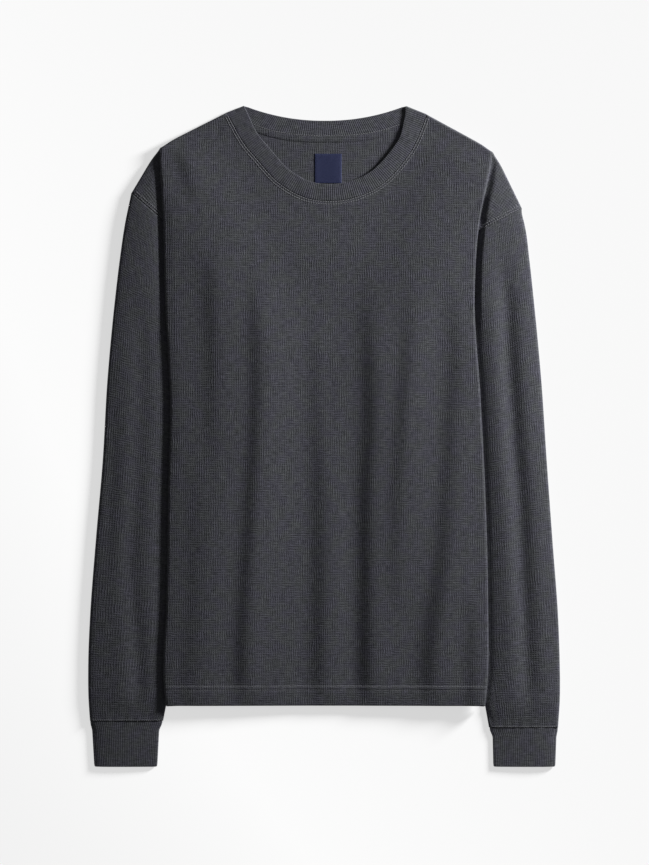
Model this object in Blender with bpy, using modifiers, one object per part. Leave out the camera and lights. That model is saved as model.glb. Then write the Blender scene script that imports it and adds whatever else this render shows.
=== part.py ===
"""A long-sleeved waffle-knit thermal top, lying face up on a flat surface.

The top lies with its neck towards +Y and its front towards +Z. The origin is at the middle of its
footprint, on the surface. Both sides of the body are turned under, and each sleeve is folded down
beside the body with its inner half tucked beneath it. The sizes below are in millimetres, and each
mesh is scaled to metres when it is made.

Every cut piece is one open sheet of its outer face, and a Solidify modifier gives the cloth its wall.
"""

import math
from collections import namedtuple

import bmesh
import bpy
import numpy as np

MM = 0.001

# Cloth
WALL = 1.5  # the waffle knit of the body and sleeves
RIB_WALL = 1.8  # the doubled rib of the neckband and cuffs
LABEL_WALL = 0.8
SEAM_GAP = 0.3  # between two pieces that are sewn together
ARMHOLE_GAP = 0.9  # the same where the two walls meet at a slant
PLY_GAP = 0.6  # air between two plies that lie on each other
LEAST_LOFT = 0.2

# Body
HEM_Y = -323.7
BODY_LOFT = 2.4  # how far the front stands off the back between its folds
NECK_LOFT = 0.5  # the share of it that is left beside the neck, on the shoulders
NECK_RIM = 3.5  # width of the rounded shoulder edge
PRESSED = 3.7  # height of a sleeve where the body lies on it
TUCK_MARGIN = 8.0  # the body stays level this far past a sleeve's tucked edge
TUCK_RAMP = 40.0  # and then comes down over this width
SEAM_MARGIN = 16.0  # the same past the side seam
SEAM_RAMP = 35.0
RIM_SHOULDER = (0.3, 0.85)  # a point of the rounded shoulder edge, as shares of its width and height
BACK_INSET = 1.6  # in rims: how far the back's edge lies inside the shoulder's silhouette
BACK_EDGE_GAP = 1.5  # from the back's edge to the inside of the body's folded edge

# Neck
BAND_WIDTH = 20.4
BAND_CENTRE = 2.0
BAND_LIFT = 0.4  # the band's free edge stands this much above its seam
BAND_END_GAP = 0.6  # between the folds of the band and of the shoulder
# Round the band's fold on a shoulder, from the front to the back, as shares of its inset and height
BAND_FOLD = ((1.0, 1.0), RIM_SHOULDER, (0.0, 0.5), (0.3, 0.12))
BACK_NECK_REACH = 0.955  # the share of the back neck seam that lies between the two folds
BACK_SEAM_HALF, BACK_SEAM_Y, BACK_SEAM_RISE, BACK_SEAM_POWER = 120.3, 356.7, 31.6, 2.7
BACK_EDGE_HALF, BACK_EDGE_Y, BACK_EDGE_RISE, BACK_EDGE_POWER = 97.2, 379.5, 18.0, 2.1
LABEL_X, LABEL_Y, LABEL_WIDTH, LABEL_HEIGHT = 5.2, 321.9, 33.7, 35.6

# Sleeves and cuffs
SLEEVE_LOFT = 3.2  # how far the middle of a sleeve stands above its edges
SLEEVE_NOSE = 3.0  # width of its rounded edges
CREVICE = 3.0  # it stays level this far out from the body's edge
JOINT_GAP = 2.25  # from the armhole seam where the sleeve goes under the body
GATHER_START = 0.99  # a sleeve narrows to its cuff past this share of its length
CUFF_LEVEL = 4.2
CUFF_LOFT = 1.9
CUFF_Y = -397.5

# How finely the sheets are divided
SHOULDER_STEPS = 6
NECK_STEPS = 24
YOKE_STEPS = 6
BODY_STEPS = 16
FACING_STEPS = 9
SLEEVE_STEPS = 17
BACK_NECK_STEPS = 14
CUFF_STEPS = 3
# Shares of the way across a sleeve's top, its tucked half and its underside, and a cuff's top
TOP_SHARES = (0.0, 0.1, 0.24, 0.38, 0.52, 0.66, 0.8, 0.92)
TUCKED_SHARES = (0.0, 0.5, 1.0)
FLOOR_SHARES = (0.0, 0.33, 0.67, 1.0)
CUFF_SHARES = (0.0, 0.15, 0.35, 0.5, 0.65, 0.85, 1.0)
FOLD_ANGLES = (90.0, 30.0, -30.0, -90.0)  # round the edge of the body

Point = namedtuple("Point", "x y")
Side = namedtuple("Side", "name sign kink tip joint armpit neck cuff_top cuff_end cuff_seam_y")
Pair = namedtuple("Pair", "y left right")
Crease = namedtuple("Crease", "top_x mid_x end_x top_y end_y depth half_width")

# kink: where the body's fold starts on the shoulder. tip: the dropped shoulder's point. joint: where
# the armhole seam goes under the body. armpit: its hidden end. neck: the neckband on the shoulder.
# cuff_top and cuff_end: a cuff's two edges, outer then inner, at its seam and at its opening.
LEFT = Side(
    name="left",
    sign=-1,
    kink=Point(-198.5, 348.3),
    tip=Point(-231.7, 292.5),
    joint=Point(-193.5, 260.0),
    armpit=Point(-105.0, 110.0),
    neck=Point(-117.4, 389.2),
    cuff_top=Point(-279.7, -197.5),
    cuff_end=Point(-276.3, -200.5),
    cuff_seam_y=-342.0,
)
RIGHT = Side(
    name="right",
    sign=1,
    kink=Point(204.5, 342.9),
    tip=Point(238.0, 273.9),
    joint=Point(187.0, 247.0),
    armpit=Point(118.0, 95.0),
    neck=Point(123.1, 387.3),
    cuff_top=Point(279.9, 202.3),
    cuff_end=Point(278.1, 203.5),
    cuff_seam_y=-350.0,
)
SIDES = (LEFT, RIGHT)
BAND_END = {"left": Point(-96.1, 397.5), "right": Point(98.3, 397.3)}

# The two folded edges of the body
BODY_EDGE = (
    Pair(348.3, -198.5, 205.5),
    Pair(260.0, -193.5, 187.0),
    Pair(165.0, -190.9, 181.7),
    Pair(45.0, -185.0, 187.7),
    Pair(-75.0, -187.2, 193.6),
    Pair(-195.0, -189.1, 196.6),
    Pair(-300.0, -192.3, 195.6),
    Pair(HEM_Y, -190.0, 193.2),
)

# The outer edges of the two sleeves
SLEEVE_EDGE = (
    Pair(292.5, -231.7, 229.3),
    Pair(254.7, -239.5, 241.1),
    Pair(211.5, -245.8, 247.0),
    Pair(163.5, -251.5, 252.2),
    Pair(67.5, -260.5, 261.2),
    Pair(-28.5, -266.1, 267.7),
    Pair(-124.5, -274.4, 274.6),
    Pair(-220.5, -281.6, 281.6),
    Pair(-268.5, -283.5, 283.3),
    Pair(-316.5, -283.2, 283.5),
    Pair(-350.0, -280.9, 281.4),
)

# The seam of the neckband across the front, from the left shoulder to the right one
NECK_SEAM = (
    LEFT.neck,
    Point(-98.8, 355.1),
    Point(-82.4, 334.5),
    Point(-53.5, 303.5),
    Point(-16.3, 284.9),
    Point(29.2, 284.9),
    Point(70.6, 303.5),
    Point(103.6, 340.7),
    Point(118.8, 373.0),
    RIGHT.neck,
)

# Long soft folds down the front, and two short ones. Depth is a share of BODY_LOFT.
FRONT_CREASES = (
    Crease(-81.0, -85.0, -99.7, 185.0, -330.0, 0.90, 11.0),
    Crease(-8.0, -8.0, -14.5, 155.0, -330.0, 0.75, 10.0),
    Crease(55.0, 51.0, 47.9, 150.0, -330.0, 1.00, 11.0),
    Crease(103.0, 92.0, 80.0, 150.0, -150.0, 0.40, 10.0),
    Crease(143.0, 149.0, 122.0, 190.0, -325.0, 0.75, 12.0),
    Crease(-142.0, -137.0, -130.0, 205.0, 60.0, 0.40, 11.0),
    Crease(-167.0, -163.0, -158.5, -170.0, -330.0, 0.40, 9.0),
)

# The fold down each sleeve, as a trough beside a ridge. Depth is in millimetres.
SLEEVE_CREASES = {
    "left": Crease(-226.0, -216.0, -223.0, 150.0, -345.0, 1.0, 9.0),
    "right": Crease(226.0, 247.0, 256.0, 270.0, -350.0, 1.7, 10.0),
}


# Curves and blends


def smooth_curve(points, count):
    """count + 1 points evenly spaced along a smooth curve through the given ones."""
    points = np.asarray(points, float)
    ends = np.vstack([2 * points[0] - points[1], points, 2 * points[-1] - points[-2]])
    fine = [points[0]]
    for i in range(len(points) - 1):
        a, b, c, d = ends[i : i + 4]
        for t in np.linspace(0, 1, 17)[1:]:
            fine.append(
                0.5 * (2 * b + (c - a) * t + (2 * a - 5 * b + 4 * c - d) * t**2)
                + 0.5 * (3 * b - a - 3 * c + d) * t**3
            )
    return spaced(fine, count)


def spaced(points, count):
    """count + 1 points evenly spaced along a polyline."""
    points = np.asarray(points, float)
    run = np.concatenate([[0], np.cumsum(np.linalg.norm(np.diff(points, axis=0), axis=1))])
    at = np.linspace(0, run[-1], count + 1)
    return np.column_stack([np.interp(at, run, points[:, k]) for k in range(points.shape[1])])


def read(table, column, y):
    """The value of one column of a table at height y, with the slopes carried smoothly through its rows."""
    ys = np.array([row.y for row in table])[::-1]
    xs = np.array([getattr(row, column) for row in table])[::-1]
    slopes = np.gradient(xs, ys)
    y = np.clip(y, ys[0], ys[-1])
    i = int(np.clip(np.searchsorted(ys, y) - 1, 0, len(ys) - 2))
    width = ys[i + 1] - ys[i]
    t = (y - ys[i]) / width
    return float(
        xs[i] * (1 + 2 * t) * (1 - t) ** 2
        + xs[i + 1] * t**2 * (3 - 2 * t)
        + width * (slopes[i] * t * (1 - t) ** 2 - slopes[i + 1] * t**2 * (1 - t))
    )


def ease(t):
    """0 up to 0, 1 from 1 on, and a soft S between them."""
    t = min(max(t, 0.0), 1.0)
    return t * t * (3 - 2 * t)


def mix(a, b, t):
    return a + (b - a) * t


def lerp(a, b, t):
    return np.asarray(a, float) * (1 - t) + np.asarray(b, float) * t


# Where things lie in plan


def edge_x(side, y):
    return read(BODY_EDGE, side.name, y)


def tuck_x(side, y):
    """The hidden edge of the tucked sleeve: the armhole seam down to the armpit, then the sleeve's fold."""
    above = side.joint.y + 120.0
    slope = (side.armpit.x - side.joint.x) / (side.joint.y - side.armpit.y)
    stops = (side.cuff_seam_y, side.armpit.y, side.joint.y, above)
    places = (side.cuff_top.y + 4.0 * -side.sign, side.armpit.x, side.joint.x, side.joint.x - 120.0 * slope)
    return float(np.interp(y, stops, places))


def side_seam_x(side, y):
    """The side seam, turned under the body, and the armhole seam above it."""
    return side.armpit.x if y < side.armpit.y else tuck_x(side, y)


def inward(side, line_x, x):
    """How far x lies from a line, towards the middle of the body."""
    return side.sign * (line_x - x)


def below_shoulder(side, x, y):
    """Distance of a point below the shoulder line of one side."""
    run, rise = side.neck.x - side.kink.x, side.neck.y - side.kink.y
    length = math.hypot(run, rise)
    return (side.kink.y - y + (x - side.kink.x) * rise / run) * abs(run) / length


# Heights


def crease_share(crease, x, y):
    """How much of its depth a crease has at a point, fading out at its two ends."""
    t = (crease.top_y - y) / (crease.top_y - crease.end_y)
    if not 0 < t < 1.2:
        return 0.0
    centre = mix(mix(crease.top_x, crease.mid_x, min(t * 2, 1)), crease.end_x, max(t * 2 - 1, 0))
    across = (x - centre) / crease.half_width
    fade = ease(t * 4) * ease((1.15 - t) * 5)
    return fade * math.exp(-across * across)


def sleeve_lift(x, y):
    """The least height of what lies on the tucked halves of the sleeves."""
    lifts = (
        1 - ease((inward(side, tuck_x(side, y), x) - TUCK_MARGIN) / TUCK_RAMP) for side in SIDES
    )
    return (PRESSED + SEAM_GAP) * max(lifts)


def back_under(x, y):
    """The underside of the back, which lies on the surface between the turned-under sides."""
    lifts = (
        1 - ease((inward(side, side_seam_x(side, y), x) - SEAM_MARGIN) / SEAM_RAMP) for side in SIDES
    )
    return sleeve_lift(x, y) + (WALL + PLY_GAP) * max(lifts)


def front_top(x, y):
    loft = 1.0
    for side in SIDES:
        loft *= ease(inward(side, edge_x(side, y), x) / 32.0)
        loft *= ease((below_shoulder(side, x, y) - NECK_RIM) / 36.0)
    for crease in FRONT_CREASES:
        loft -= loft * crease.depth * crease_share(crease, x, y)
    beside_neck = ease((y - 250.0) / 90.0) * ease((185.0 - abs(x)) / 60.0)
    loft = max(loft, NECK_LOFT * beside_neck)
    return back_under(x, y) + 2 * WALL + PLY_GAP + LEAST_LOFT + BODY_LOFT * loft


def sleeve_top(side, x, y):
    """The top of a sleeve, and of the shoulder's point beyond the body's fold."""
    inner = edge_x(side, y) + side.sign * CREVICE if y > HEM_Y else side.cuff_top.y
    if y > side.tip.y:
        share = (y - side.tip.y) / (side.kink.y - side.tip.y)
        outer = mix(side.tip.x, side.kink.x, min(share, 1.0))
    else:
        outer = read(SLEEVE_EDGE, side.name, y)
    across = min(max((inner - x) / (inner - outer), 0.0), 1.0)
    loft = SLEEVE_LOFT * ease((side.kink.y - y) / 150.0)
    hump = (4 * across * (1 - across)) ** 0.8
    crease = SLEEVE_CREASES[side.name]
    dip = crease.depth * crease_share(crease, x, y) * hump
    return PRESSED + loft * hump - dip


# Making the pieces


def remove_all():
    for obj in list(bpy.data.objects):
        bpy.data.objects.remove(obj)
    for mesh in list(bpy.data.meshes):
        bpy.data.meshes.remove(mesh)


def cloth_material(name, colour, roughness, sheen):
    material = bpy.data.materials.new(name)
    material.use_nodes = True
    shader = material.node_tree.nodes["Principled BSDF"]
    shader.inputs["Base Color"].default_value = (*colour, 1.0)
    shader.inputs["Roughness"].default_value = roughness
    shader.inputs["Metallic"].default_value = 0.0
    shader.inputs["Sheen Weight"].default_value = sheen
    return material


def add_patch(mesh, rows):
    """Adds quads between rows of points to an open sheet. Rows run so that the faces point outwards."""
    verts = [[mesh.verts.new([c * MM for c in point]) for point in row] for row in rows]
    for upper, lower in zip(verts, verts[1:]):
        for a, b, c, d in zip(upper, upper[1:], lower[1:], lower):
            mesh.faces.new((a, d, c, b))


def make_cloth(name, patches, wall, material, collection):
    """One piece of cloth: its outer face from patches that share their borders, and a wall behind it."""
    sheet = bmesh.new()
    for rows in patches:
        add_patch(sheet, rows)
    bmesh.ops.remove_doubles(sheet, verts=sheet.verts, dist=0.01 * MM)
    mesh = bpy.data.meshes.new(name)
    sheet.to_mesh(mesh)
    sheet.free()
    mesh.shade_smooth()
    mesh.materials.append(material)
    obj = bpy.data.objects.new(name, mesh)
    collection.objects.link(obj)
    solid = obj.modifiers.new("wall", "SOLIDIFY")
    solid.thickness = wall * MM
    solid.offset = -1.0
    solid.use_even_offset = True
    solid.use_quality_normals = True
    return obj


# The front


def shoulder_inset(side):
    """In plan, from the silhouette of a shoulder to the top of its rounded edge."""
    run, rise = side.neck.x - side.kink.x, side.neck.y - side.kink.y
    return NECK_RIM * np.array([rise * -side.sign, run * side.sign]) / math.hypot(run, rise)


def point_inset(side):
    """The same, beyond the kink, where the silhouette turns down to the dropped shoulder's point."""
    run, rise = side.tip.x - side.kink.x, side.tip.y - side.kink.y
    return NECK_RIM * np.array([rise * side.sign, -run * side.sign]) / math.hypot(run, rise)


def shoulder_line(side, inset):
    """Points of one shoulder from the kink to the neckband, on its silhouette or inside it."""
    line = spaced([side.kink, side.neck], SHOULDER_STEPS)
    turn = np.linspace(0, 1, len(line))[:, None] * SHOULDER_STEPS
    corner = (shoulder_inset(side) + point_inset(side)) / 2
    inward_step = lerp(corner, shoulder_inset(side), np.clip(turn, 0, 1))
    return line + inset * inward_step


def low_level(side, y):
    """What the body's folded edge comes down to: the shoulder's point, then the tucked sleeve."""
    x = edge_x(side, y)
    if y > side.joint.y + 1.0:
        return sleeve_top(side, x, y)
    at_joint = y > side.joint.y - 1.0
    return sleeve_lift(x, y) + (WALL if at_joint else 0.0)


def fold_radius(side, y):
    """Half the height of the body's folded edge, which grows from nothing at the kink."""
    return max(front_top(edge_x(side, y), y) - low_level(side, y), 0.4) / 2


def front_grid():
    """Rows of the front in plan, from its shoulders and neckline down to its hem."""
    neckline = smooth_curve(NECK_SEAM, NECK_STEPS)
    left = shoulder_line(LEFT, 1.0)
    right = shoulder_line(RIGHT, 1.0)[::-1]
    top = np.vstack([left, neckline[1:-1], right])
    share = np.linspace(0, 1, len(top))
    start_y = mix(LEFT.joint.y, RIGHT.joint.y, share)
    rows = [top]
    for step in range(1, YOKE_STEPS):
        row = lerp(top, row_across(start_y, share), step / YOKE_STEPS)
        row[0, 0] = edge_x(LEFT, row[0, 1]) + fold_radius(LEFT, row[0, 1])
        row[-1, 0] = edge_x(RIGHT, row[-1, 1]) - fold_radius(RIGHT, row[-1, 1])
        rows.append(row)
    for step in range(BODY_STEPS + 1):
        rows.append(row_across(mix(start_y, HEM_Y, step / BODY_STEPS), share))
    return rows


def row_across(ys, share):
    """A row from one folded edge of the body to the other, between the tops of their curves."""
    first = edge_x(LEFT, ys[0]) + fold_radius(LEFT, ys[0])
    last = edge_x(RIGHT, ys[-1]) - fold_radius(RIGHT, ys[-1])
    return np.column_stack([mix(first, last, share), ys])


def fold_points(side, top_point, undercut):
    """Round the folded edge of the body at one row, from its top to its underside."""
    y = top_point[1]
    radius = fold_radius(side, y)
    middle = top_point[2] - radius
    points = [top_point]
    for angle in FOLD_ANGLES[1:]:
        across = radius * (1 - math.cos(math.radians(angle)))
        if angle < 0:
            across *= undercut
        x = edge_x(side, y) - side.sign * across
        points.append((x, y, middle + radius * math.sin(math.radians(angle))))
    return points


def shoulder_point_rows(side, fold_ends):
    """The front beyond the body's fold, from the fold out to the silhouette and the armhole seam."""
    tip = np.array(side.tip) + point_inset(side)
    kink, joint = np.array(fold_ends[0][:2]), np.array(fold_ends[-1][:2])
    half = YOKE_STEPS // 2
    rows = []
    for step, start in enumerate(fold_ends):
        if step <= half:
            end = lerp(kink, tip, step / half)
        else:
            end = lerp(tip, joint, (step - half) / half)
        row = [start]
        for share in (1 / 3, 2 / 3, 1):
            x, y = lerp(start[:2], end, share)
            row.append((x, y, mix(start[2], sleeve_top(side, x, y), min(step, 1, YOKE_STEPS - step))))
        rows.append(row)
    return rows


def rim_rows(side, outline):
    """The rounded edge that closes the shoulder, from its underside to its top."""
    along = shoulder_line(side, 0.0)
    half = YOKE_STEPS // 2
    beyond = [lerp(side.tip, side.kink, step / half) for step in range(half)]
    silhouette = np.vstack([beyond, along])
    top = np.array(outline)
    under = [(x, y, SEAM_GAP) for x, y in silhouette]
    sides = [(x, y, z * 0.5) for (x, y), z in zip(silhouette, top[:, 2])]
    inset, height = RIM_SHOULDER
    crown = [
        (*lerp(edge, point[:2], inset), point[2] * height) for edge, point in zip(silhouette, top)
    ]
    return [under, sides, crown, list(map(tuple, top))]


def facing_row(side, start):
    """The underside of the turned-under cloth, from the fold to the side seam or the armhole seam."""
    row = [start]
    end_x = side_seam_x(side, start[1])
    for step in range(1, FACING_STEPS + 1):
        x = mix(start[0], end_x, step / FACING_STEPS)
        row.append((x, start[1], sleeve_lift(x, start[1])))
    return row


def in_order(side, row):
    """Rows run from -X to +X over the top of the cloth."""
    return row[::-1] if side is LEFT else row


def make_front(material, collection):
    grid = [[(x, y, front_top(x, y)) for x, y in row] for row in front_grid()]
    patches = [grid]
    for side in SIDES:
        column = 0 if side is LEFT else -1
        folds = [[grid[0][column]] * len(FOLD_ANGLES)]
        for index, row in enumerate(grid[1:], 1):
            undercut = 0.15 if index <= YOKE_STEPS else 1.0
            folds.append(fold_points(side, row[column], undercut))
        patches.append([in_order(side, row) for row in folds])
        ends = [row[-1] for row in folds]
        point = shoulder_point_rows(side, ends[: YOKE_STEPS + 1])
        patches.append([in_order(side, row) for row in point])
        half = YOKE_STEPS // 2
        outline = [point[step][-1] for step in range(half, 0, -1)]
        along = grid[0][: SHOULDER_STEPS + 1] if side is LEFT else grid[0][: -SHOULDER_STEPS - 2 : -1]
        rim = rim_rows(side, outline + along)
        patches.append([row if side is LEFT else row[::-1] for row in rim])
        facing = [facing_row(side, end) for end in ends[YOKE_STEPS + 1 :]]
        patches.append([in_order(side, row) for row in facing])
    return make_cloth("front", patches, WALL, material, collection)


# The back


def back_seam(u):
    """The back neck seam, for u from -1 on the left to 1 on the right."""
    x = BAND_CENTRE + 0.85 + BACK_SEAM_HALF * u
    return x, BACK_SEAM_Y + BACK_SEAM_RISE * abs(u) ** BACK_SEAM_POWER


def back_edge_x(side, y):
    inside = max(fold_radius(side, y) + SEAM_GAP, WALL + BACK_EDGE_GAP)
    return edge_x(side, y) - side.sign * inside


def make_back(material, collection):
    left = shoulder_line(LEFT, BACK_INSET)
    right = shoulder_line(RIGHT, BACK_INSET)[::-1]
    neck = [back_seam(u) for u in np.linspace(-BACK_NECK_REACH, BACK_NECK_REACH, BACK_NECK_STEPS)]
    neck = [(x, y - 1.5 * SEAM_GAP) for x, y in neck]
    top = np.vstack([left, neck, right])
    u = np.linspace(-1, 1, len(top))
    share = 0.5 + 0.5 * u * (1.25 - 0.25 * u * u)
    start_y = mix(LEFT.joint.y, RIGHT.joint.y, share)

    def across(ys):
        return np.column_stack([mix(back_edge_x(LEFT, ys[0]), back_edge_x(RIGHT, ys[-1]), share), ys])

    rows = [top]
    for step in range(1, YOKE_STEPS):
        row = lerp(top, across(start_y), step / YOKE_STEPS)
        row[0, 0] = back_edge_x(LEFT, row[0, 1])
        row[-1, 0] = back_edge_x(RIGHT, row[-1, 1])
        rows.append(row)
    rows += [across(mix(start_y, HEM_Y, step / BODY_STEPS)) for step in range(BODY_STEPS + 1)]
    grid = [[(x, y, back_under(x, y)) for x, y in row[::-1]] for row in rows]
    return make_cloth("back", [grid], WALL, material, collection)


# The sleeves and cuffs


def flat_tube(outer, inner, tops, nose, floor_share):
    """A ring round a flattened tube: over the top from its outer edge to its inner one, and back below."""
    ring = []
    outer, inner = np.asarray(outer, float), np.asarray(inner, float)
    unit = (inner - outer) / np.linalg.norm(inner - outer)
    first, last = tops[0][2], tops[-1][2]
    ring.append((*outer, first * 0.45))
    ring.append((*(outer + unit * nose * 0.25), first * 0.82))
    ring += [tuple(point) for point in tops]
    ring.append((*(inner - unit * nose * 0.25), last * 0.82))
    ring.append((*inner, last * 0.45))
    for share in floor_share:
        ring.append((*lerp(inner - unit * nose * 0.7, outer + unit * nose * 0.7, share), 0.0))
    return ring


def sleeve_rings(side):
    """Rings from the armhole to the cuff. Each bends where the body's edge lies on it."""
    run, rise = side.tip.x - side.joint.x, side.tip.y - side.joint.y
    away = np.array([rise, -run]) * side.sign / math.hypot(run, rise)
    start_outer = np.array(side.tip) + ARMHOLE_GAP * away
    start_edge = np.array(side.joint) + JOINT_GAP * away
    start_inner = np.array(side.armpit) + ARMHOLE_GAP * away
    rings = []
    for step, s in enumerate([*np.linspace(0, GATHER_START, SLEEVE_STEPS), 1.0]):
        outer_y = mix(start_outer[1], side.cuff_seam_y, s)
        middle_y = mix(start_edge[1], side.cuff_seam_y, s)
        inner_y = mix(start_inner[1], side.cuff_seam_y, s)
        outer = np.array([read(SLEEVE_EDGE, side.name, outer_y), outer_y])
        inner = np.array([tuck_x(side, inner_y), inner_y])
        gather = ease((s - GATHER_START) / (1 - GATHER_START))
        outer[0] = mix(outer[0], side.cuff_top.x, gather)
        inner[0] = mix(inner[0], side.cuff_top.y, gather)
        if step == 0:
            outer, inner = start_outer, start_inner
        over_x = side.sign * max(side.sign * edge_x(side, middle_y), side.sign * inner[0] + 12.0)
        middle = np.array([over_x, middle_y])
        unit = (middle - outer) / np.linalg.norm(middle - outer)
        crown = outer + unit * SLEEVE_NOSE
        tops = [lerp(crown, middle, share) for share in TOP_SHARES]
        heel = inner + (middle - inner) / np.linalg.norm(middle - inner) * SLEEVE_NOSE
        tops += [lerp(middle, heel, share) for share in TUCKED_SHARES]
        tops = [(x, y, sleeve_top(side, x, y)) for x, y in tops]
        rings.append(flat_tube(outer, inner, tops, SLEEVE_NOSE, FLOOR_SHARES))
    return rings


def make_tube(name, side, rings, wall, material, collection):
    rows = [ring + ring[:1] for ring in rings]
    if side is RIGHT:
        rows = [row[::-1] for row in rows]
    return make_cloth(name, [rows], wall, material, collection)


def cuff_rings(side):
    rings = []
    for step in range(CUFF_STEPS + 1):
        s = step / CUFF_STEPS
        y = mix(side.cuff_seam_y - SEAM_GAP, CUFF_Y, s)
        outer = np.array([mix(side.cuff_top.x, side.cuff_end.x, s), y])
        inner = np.array([mix(side.cuff_top.y, side.cuff_end.y, s), y])
        unit = (inner - outer) / np.linalg.norm(inner - outer)
        tops = []
        for share in CUFF_SHARES:
            x, _ = lerp(outer + unit * SLEEVE_NOSE, inner - unit * SLEEVE_NOSE, share)
            tops.append((x, y, CUFF_LEVEL + CUFF_LOFT * (1 - 0.4 * s) * 4 * share * (1 - share)))
        rings.append(flat_tube(outer, inner, tops, SLEEVE_NOSE, FLOOR_SHARES))
    return rings


# The neckband and the label


def band_end(side):
    """The band on one shoulder: its free edge, its seam edge and the direction out over the fold."""
    free, seam = np.array(BAND_END[side.name]), np.array(side.neck)
    run = free - seam
    out = np.array([-run[1], run[0]]) * -side.sign / np.linalg.norm(run)
    return free, seam, out


def band_height(side):
    x, y = np.array(side.neck) + shoulder_inset(side)
    return front_top(x, y)


def band_stations():
    """(free edge, seam edge) round the neck: across the front to the right, and behind to the left."""
    seam = smooth_curve(NECK_SEAM, NECK_STEPS)
    tangent = np.gradient(seam, axis=0)
    tangent /= np.linalg.norm(tangent, axis=1)[:, None]
    normal = np.column_stack([-tangent[:, 1], tangent[:, 0]])
    stations = []
    for i in range(1, NECK_STEPS):
        ending = 1 - min(i, NECK_STEPS - i) / 3
        side = LEFT if i < NECK_STEPS / 2 else RIGHT
        free_end, seam_end, _ = band_end(side)
        direction = normal[i] * BAND_WIDTH
        if ending > 0:
            direction = lerp(direction, free_end - seam_end, ending * 0.5)
        edge = seam[i] + normal[i] * SEAM_GAP
        top = front_top(*seam[i])
        stations.append(((*(edge + direction), top + BAND_LIFT), (*edge, top)))
    for side, fold in ((RIGHT, BAND_FOLD), (LEFT, BAND_FOLD[::-1])):
        free, base, out = band_end(side)
        along = (free - base) / np.linalg.norm(free - base)
        base = base + along * BAND_END_GAP
        for inset, height in fold:
            lift = band_height(side) * height
            inner_free = free - out * NECK_RIM * inset
            inner_base = base + shoulder_inset(side) * inset
            stations.append(((*inner_free, lift), (*inner_base, lift)))
        if side is RIGHT:
            for u in np.linspace(BACK_NECK_REACH, -BACK_NECK_REACH, BACK_NECK_STEPS):
                free_x = BAND_CENTRE - 0.9 + BACK_EDGE_HALF * u
                free_y = BACK_EDGE_Y + BACK_EDGE_RISE * abs(u) ** BACK_EDGE_POWER
                stations.append(((free_x, free_y, 0.0), (*back_seam(u), 0.0)))
    return stations


def make_neckband(material, collection):
    stations = band_stations()
    stations.append(stations[0])
    rows = [[free for free, _ in stations], [seam for _, seam in stations]]
    rows.insert(1, [tuple(lerp(free, seam, 0.5)) for free, seam in stations])
    return make_cloth("neckband", [rows], RIB_WALL, material, collection)


def make_label(material, collection):
    """A plain woven label on the inside of the back, made from the back's points moved out."""
    top = WALL + SEAM_GAP + LABEL_WALL
    xs = LABEL_X + np.linspace(-0.5, 0.5, 4) * LABEL_WIDTH
    ys = LABEL_Y + np.linspace(0.5, -0.5, 4) * LABEL_HEIGHT
    grid = [[(x, y, back_under(x, y) + top) for x in xs] for y in ys]
    return make_cloth("label", [grid], LABEL_WALL, material, collection)


def main():
    remove_all()
    collection = bpy.data.collections.new("thermal_top")
    bpy.context.scene.collection.children.link(collection)
    waffle = cloth_material("waffle_knit", (0.055, 0.055, 0.065), 0.9, 0.3)
    rib = cloth_material("rib_knit", (0.058, 0.058, 0.068), 0.9, 0.3)
    navy = cloth_material("woven_label", (0.025, 0.03, 0.085), 0.6, 0.1)
    make_front(waffle, collection)
    make_back(waffle, collection)
    for side in SIDES:
        make_tube(f"sleeve_{side.name}", side, sleeve_rings(side), WALL, waffle, collection)
        make_tube(f"cuff_{side.name}", side, cuff_rings(side), RIB_WALL, rib, collection)
    make_neckband(rib, collection)
    make_label(navy, collection)


main()
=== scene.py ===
"""The looks of a charcoal waffle-knit thermal top that lies face up on a pale floor.

Lengths are in millimetres, as a tailor would give them, and meshes are scaled to metres when they are
made. Every piece of cloth is a finer sheet on its solid's form, with a wall, its folds and its sewing.
"""

import math
from collections import namedtuple
from functools import partial

import bmesh
import bpy
import numpy as np
from mathutils import Matrix, Vector

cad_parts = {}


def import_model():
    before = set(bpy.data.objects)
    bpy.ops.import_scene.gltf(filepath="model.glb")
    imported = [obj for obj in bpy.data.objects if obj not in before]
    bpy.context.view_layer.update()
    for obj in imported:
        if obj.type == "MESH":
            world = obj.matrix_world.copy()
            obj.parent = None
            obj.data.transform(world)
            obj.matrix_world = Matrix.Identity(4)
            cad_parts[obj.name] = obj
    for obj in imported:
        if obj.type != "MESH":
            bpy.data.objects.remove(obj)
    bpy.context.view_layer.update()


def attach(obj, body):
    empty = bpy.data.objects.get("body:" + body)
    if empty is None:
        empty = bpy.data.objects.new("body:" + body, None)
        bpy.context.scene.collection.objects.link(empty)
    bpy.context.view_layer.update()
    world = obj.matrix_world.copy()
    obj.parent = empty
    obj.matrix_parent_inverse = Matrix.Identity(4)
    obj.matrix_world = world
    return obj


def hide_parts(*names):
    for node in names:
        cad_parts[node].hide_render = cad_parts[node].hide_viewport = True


MM = 0.001

Point = namedtuple("Point", "x y")
Edges = namedtuple("Edges", "outer inner")
Arc = namedtuple("Arc", "middle half y rise power")
Fold = namedtuple("Fold", "points half_width")
Side = namedtuple("Side", "name sign kink tip joint armpit neck cuff_top cuff_end cuff_seam_y")

# Cloth
WALL = 1.3
RIB_WALL = 1.8
THIN_WALL = 1.1  # of the modelled knit, whose outer face lies on the solid's
SEAM_GAP = 0.3
PLY_GAP = 0.4
LEAST_LOFT = 0.2

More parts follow.
